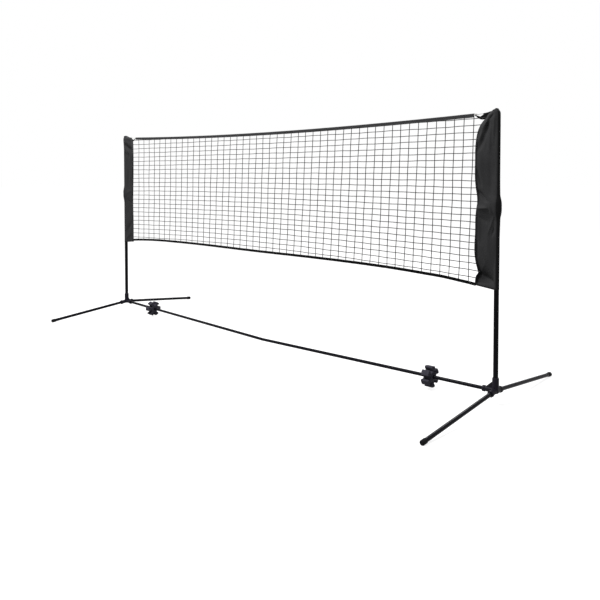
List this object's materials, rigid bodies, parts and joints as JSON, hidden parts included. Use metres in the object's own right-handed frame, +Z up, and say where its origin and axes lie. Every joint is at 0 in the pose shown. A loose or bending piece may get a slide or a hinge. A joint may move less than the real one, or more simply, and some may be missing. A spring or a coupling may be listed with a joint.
{
  "type": "portable badminton net",
  "caption": "Free-standing badminton net on telescopic poles with sloping feet, a jointed ground bar and foam tube organisers.",
  "frame": {"origin": "on the floor, midway between the two poles and between the front and rear feet", "axes": "+X along the net towards the right-hand pole, +Y across the net towards the rear feet, +Z up"},
  "size_m": [3.5826, 1.3974, 1.552],
  "materials": {
    "tube_paint": "satin",
    "joint_plastic": "matte",
    "lock_plastic": "matte",
    "cap_rubber": "matte",
    "organiser_foam": "matte",
    "sleeve_fabric": "woven",
    "webbing": "woven",
    "top_tape_fabric": "woven",
    "bottom_tape_fabric": "woven",
    "net_string": "twisted string",
    "cord_white": "braided"
  },
  "bodies": {
    "stand": {"base_joint_left": "joint_plastic", "base_joint_right": "joint_plastic", "front_foot_left": "tube_paint", "front_foot_right": "tube_paint", "rear_foot_left": "tube_paint", "rear_foot_right": "tube_paint", "front_foot_cap_left": "cap_rubber", "front_foot_cap_right": "cap_rubber", "rear_foot_cap_left": "cap_rubber", "rear_foot_cap_right": "cap_rubber", "ground_bar_outer_left": "tube_paint", "ground_bar_outer_right": "tube_paint", "ground_bar_inner_left": "tube_paint", "ground_bar_inner_right": "tube_paint", "lower_pole_left": "tube_paint", "lower_pole_right": "tube_paint", "lock_collet_left": "lock_plastic", "lock_collet_right": "lock_plastic", "ground_bar_ferrule": "tube_paint"},
    "mast_right": {"upper_pole_right": "tube_paint", "pole_bush_right": "lock_plastic", "pole_cap_right": "lock_plastic", "sleeve_right": "sleeve_fabric", "corner_tab_right": "webbing", "cord_knot_right": "cord_white", "netting": "net_string", "top_tape": "top_tape_fabric", "bottom_tape": "bottom_tape_fabric", "headline_cord": "cord_white"},
    "mast_left": {"upper_pole_left": "tube_paint", "pole_bush_left": "lock_plastic", "pole_cap_left": "lock_plastic", "sleeve_left": "sleeve_fabric", "corner_tab_left": "webbing", "cord_knot_left": "cord_white"},
    "lock_ring_left": {"lock_ring_left": "lock_plastic"},
    "lock_ring_right": {"lock_ring_right": "lock_plastic"},
    "organiser_left": {"tube_organiser_left": "organiser_foam"},
    "organiser_right": {"tube_organiser_right": "organiser_foam"}
  },
  "joints": [
    {"name": "height_slide_right", "type": "slide", "parent": "stand", "child": "mast_right", "axis": [0, 0, 1], "range_m": [-0.44, 0]},
    {"name": "height_slide_left", "type": "slide", "parent": "stand", "child": "mast_left", "axis": [0, 0, 1], "range_m": [-0.44, 0]},
    {"name": "lock_ring_turn_left", "type": "hinge", "parent": "stand", "child": "lock_ring_left", "pos_m": [-1.77, 0, 1.031], "axis": [0, 0, 1], "range_deg": [0, 120]},
    {"name": "lock_ring_turn_right", "type": "hinge", "parent": "stand", "child": "lock_ring_right", "pos_m": [1.77, 0, 1.031], "axis": [0, 0, 1], "range_deg": [0, 120]},
    {"name": "organiser_slide_left", "type": "slide", "parent": "stand", "child": "organiser_left", "axis": [-0.9998, 0, 0.022], "range_m": [-0.43, 0.27]},
    {"name": "organiser_slide_right", "type": "slide", "parent": "stand", "child": "organiser_right", "axis": [0.9998, 0, 0.022], "range_m": [-0.43, 0.27]}
  ],
  "couplings": [
    {"joint": "height_slide_left", "follows": "height_slide_right", "ratio": 1}
  ]
}
